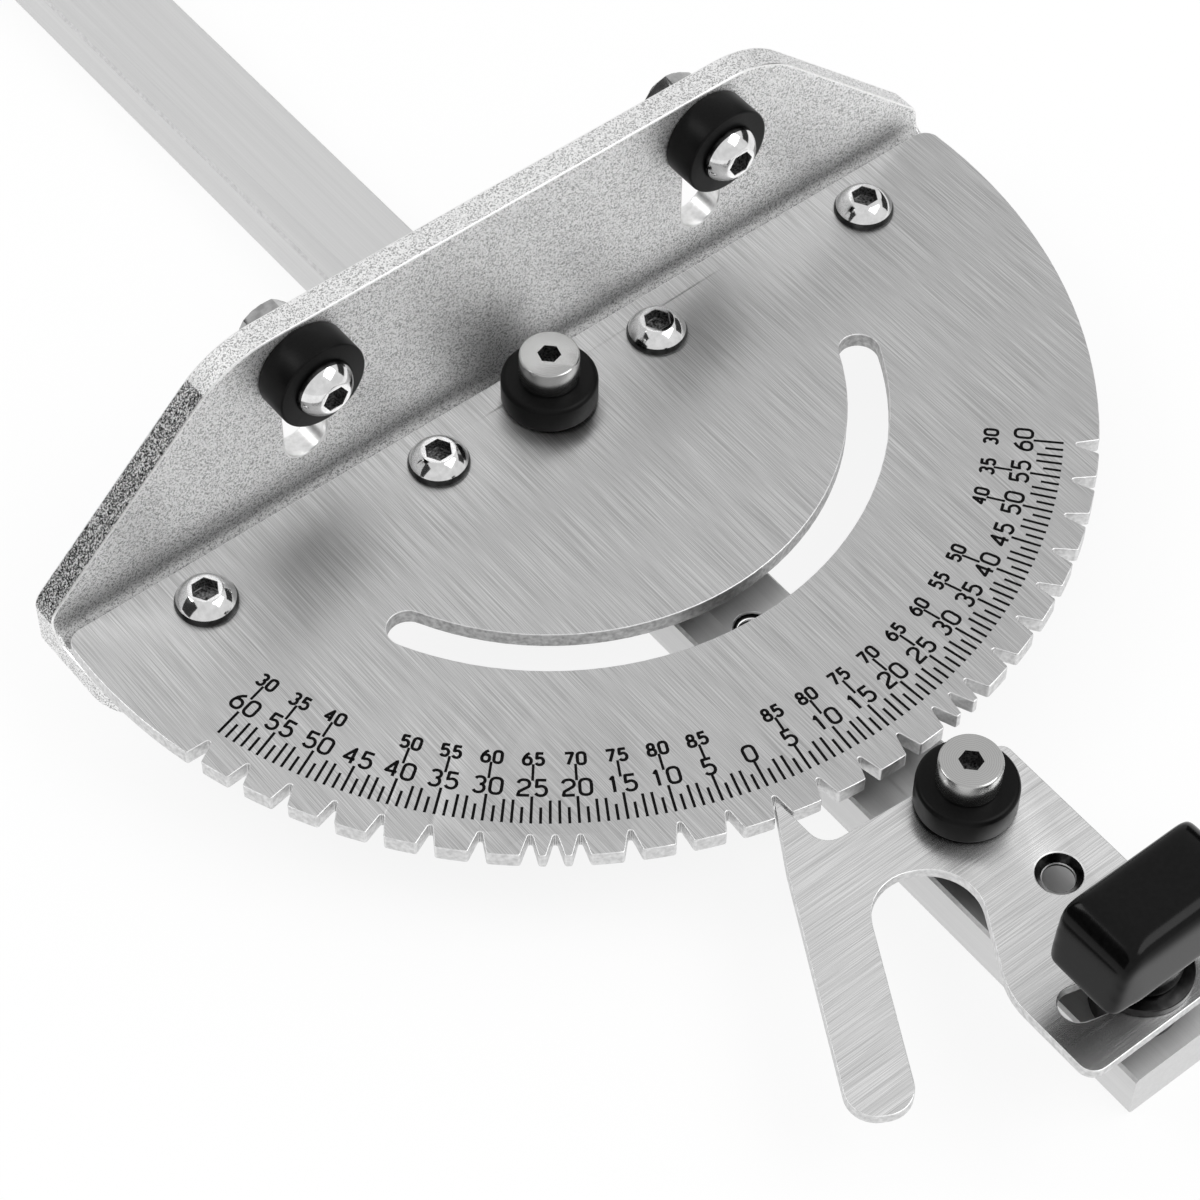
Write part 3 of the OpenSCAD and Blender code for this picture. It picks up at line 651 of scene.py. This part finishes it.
# Digits drawn with one or two round-nosed strokes each, on a field 4 wide and 6 high
FIELD_WIDE = 4
FIELD_HIGH = 6
DIGITS = {
    "0": [boxed(0, 4, 0, 6, 1.6)],
    "1": [[(1.2, 4.8), (2.2, 6), (2.2, 0)]],
    "2": [arc(1.6, 4.4, 1.6, 170, 90, 4) + arc(2.4, 4.4, 1.6, 90, -45, 6)
          + [(0.5, 1.5), (0, 0), (4, 0)]],
    "3": [arc(1.9, 4.5, 1.5, 150, 90, 3) + arc(2.4, 4.55, 1.45, 90, -100, 8),
          arc(2.2, 1.7, 1.7, 80, -90, 8) + arc(1.7, 1.6, 1.6, -90, -155, 3)],
    "4": [[(3, 0), (3, 6), (0, 1.8), (4, 1.8)]],
    "5": [[(3.8, 6), (0.6, 6), (0.5, 3.2)] + arc(2.2, 1.9, 1.8, 120, 0, 5)
          + arc(2.2, 1.8, 1.8, 0, -90, 5) + arc(1.8, 1.8, 1.8, -90, -150, 3)],
    "6": [[(3.1, 6), (1.8, 5.2), (0.7, 4.0), (0, 2.4)], boxed(0, 4, 0, 3.7, 1.7)],
    "7": [[(0, 6), (4, 6), (1.4, 0)]],
    "8": [boxed(0.5, 3.5, 3.1, 6, 1.3), boxed(0.1, 3.9, 0, 3.1, 1.4)]}
# Lines longer than LONG_LINE get a point at END_RUN from each end, measured on that field
END_RUN = 0.12
LONG_LINE = 1


def full_width(stroke):
    """The stroke with two more points near the ends of each long line, which keep its width."""
    points = [stroke[0]]
    for (x0, y0), (x1, y1) in zip(stroke, stroke[1:]):
        length = math.hypot(x1 - x0, y1 - y0)
        for share in (END_RUN / length, 1 - END_RUN / length) if length > LONG_LINE else ():
            points.append((x0 + (x1 - x0) * share, y0 + (y1 - y0) * share))
        points.append((x1, y1))
    return points


def engrave(curve, text, angle_deg, radius_mm, height_mm, width_mm, gap_mm):
    """Adds a number's strokes to a curve, centred on a ray of the dial with its top to the pivot."""
    wide = width_mm / FIELD_WIDE
    high = height_mm / FIELD_HIGH
    advance = width_mm + gap_mm
    left = -((len(text) - 1) * advance + width_mm) / 2
    place = ray(angle_deg, radius_mm)
    for i, digit in enumerate(text):
        for drawn in DIGITS[digit]:
            stroke = full_width(drawn)
            spline = curve.splines.new("POLY")
            spline.points.add(len(stroke) - 1)
            for point, (x, y) in zip(spline.points, stroke):
                flat = Vector((left + i * advance + x * wide, y * high - height_mm / 2, 0)) * MM
                point.co = (*(place @ flat), 1)


def inked(name, curve):
    """Turns a curve's round strokes into flat ribbons of ink on the plate."""
    curve.bevel_depth = NUMBER_STROKE / 2 * MM
    curve.bevel_resolution = 1
    curve.use_fill_caps = True
    drawn = put(name + "_drawn", curve)
    mesh = bpy.data.meshes.new_from_object(drawn)
    mesh.name = name
    bpy.data.objects.remove(drawn)
    bm = bmesh.new()
    bm.from_mesh(mesh)
    flatten = Matrix.Diagonal((1, 1, INK_RISE / (NUMBER_STROKE / 2), 1))
    bmesh.ops.transform(bm, matrix=flatten, verts=bm.verts,
                        space=Matrix.Translation((0, 0, -PLATE_TOP)))
    bm.to_mesh(mesh)
    bm.free()
    on_head(name, mesh)


numbers = bpy.data.curves.new("dial_numbers_drawn", "CURVE")
numbers.dimensions = "3D"
for degree in range(-LAST_MARK, LAST_MARK + 1, 5):
    engrave(numbers, str(abs(degree)), degree, *OUTER_NUMBERS)
    if degree not in BARE_MARKS:
        engrave(numbers, str(90 - abs(degree)), degree, *INNER_NUMBERS)
inked("dial_numbers", numbers)

# Short lines join each inner number to the outer one, but for the last on the right
bm = bmesh.new()
for degree in range(-LAST_MARK, LAST_MARK, 5):
    if degree not in BARE_MARKS:
        stroke_box(bm, degree, *JOINING_LINES)
on_head("dial_lines", mesh_from(bm, "dial_lines"))

# The studio: a white floor that keeps the soft shadow, a pale world and two soft lamps
scene.view_settings.view_transform = "Standard"
PAPER_GLOW = 0.88
FLOOR_HALF = 5.0
WORLD_STRENGTH = 0.8
LAMP_TARGET = Vector((0, 0, 0.02))


def floor_finish():
    """White sweep paper: bright to the eye and in reflections, plain paint for other light."""
    material = bpy.data.materials.new("white_sweep_paper")
    material.use_nodes = True
    tree = material.node_tree
    tree.nodes.clear()
    path = add(tree, "ShaderNodeLightPath").outputs
    seen = add(tree, "ShaderNodeMath", links={0: path["Is Camera Ray"], 1: path["Is Glossy Ray"]},
               operation="MAXIMUM").outputs["Value"]
    shown = add(tree, "ShaderNodeMath", links={0: seen, 1: path["Is Transmission Ray"]},
                operation="MAXIMUM").outputs["Value"]
    share = add(tree, "ShaderNodeMath", {1: PAPER_GLOW}, {0: shown},
                operation="MULTIPLY").outputs["Value"]
    paper = add(tree, "ShaderNodeBsdfDiffuse", {"Color": linear("#f4f4f4")}).outputs["BSDF"]
    glow = add(tree, "ShaderNodeEmission", {"Color": (1, 1, 1, 1), "Strength": 1.0}).outputs["Emission"]
    mixed = add(tree, "ShaderNodeMixShader", links={"Fac": share, 1: paper, 2: glow}).outputs["Shader"]
    add(tree, "ShaderNodeOutputMaterial", links={"Surface": mixed})
    return material


bm = bmesh.new()
bmesh.ops.create_grid(bm, x_segments=1, y_segments=1, size=FLOOR_HALF)
floor = put("floor", mesh_from(bm, "floor"))
floor.data.materials.append(floor_finish())

world = bpy.data.worlds.new("pale_studio")
world.use_nodes = True
sky = world.node_tree.nodes["Background"]
sky.inputs["Color"].default_value = linear("#ffffff")
sky.inputs["Strength"].default_value = WORLD_STRENGTH
scene.world = world


def soft_lamp(name, place, size, watts):
    """A soft box that faces the object."""
    lamp = bpy.data.lights.new(name, "AREA")
    lamp.shape = "RECTANGLE"
    lamp.size, lamp.size_y = size
    lamp.energy = watts
    holder = put(name, lamp)
    holder.location = place
    holder.rotation_euler = (LAMP_TARGET - Vector(place)).to_track_quat("-Z", "Y").to_euler()


soft_lamp("back_softbox", (-0.7, 0.6, 0.9), (0.5, 0.5), 3.0)
soft_lamp("front_softbox", (0.46, -0.57, 0.95), (0.8, 0.6), 4.0)


def black_flag(name, place, size):
    """A black studio flag, which shows only as the dark side of polished metal."""
    bm = bmesh.new()
    turn = (-Vector(place)).to_track_quat("-Z", "Y").to_matrix().to_4x4()
    bmesh.ops.create_grid(bm, x_segments=1, y_segments=1, size=0.5,
                          matrix=Matrix.Translation(place) @ turn @ Matrix.Diagonal((*size, 1, 1)))
    cloth = bpy.data.materials.new(name + "_cloth")
    cloth.use_nodes = True
    cloth.node_tree.nodes["Principled BSDF"].inputs["Base Color"].default_value = linear("#0a0a0a")
    flag = put(name, mesh_from(bm, name))
    flag.data.materials.append(cloth)
    flag.visible_camera = False
    flag.visible_diffuse = False
    flag.visible_shadow = False


black_flag("left_flag", (-0.95, 0.6, 0.55), (1.8, 1.2))
black_flag("right_flag", (1.3, 0.0, 0.35), (1.4, 0.6))

# The camera, fitted to the photograph
CAMERA_PLACE = Vector((-242.519, -312.319, 479.746)) * MM
CAMERA_TARGET = Vector((-20.109, -38.795, 18.125)) * MM
CAMERA_ROLL = math.radians(0.697)
lens = bpy.data.cameras.new("camera")
lens.lens = 108.588
lens.sensor_width = 36
lens.clip_start = 0.01
camera = put("camera", lens)
aim = (CAMERA_TARGET - CAMERA_PLACE).to_track_quat("-Z", "Y").to_matrix()
camera.matrix_world = (Matrix.Translation(CAMERA_PLACE) @ aim.to_4x4()
                       @ Matrix.Rotation(CAMERA_ROLL, 4, "Z"))
scene.camera = camera
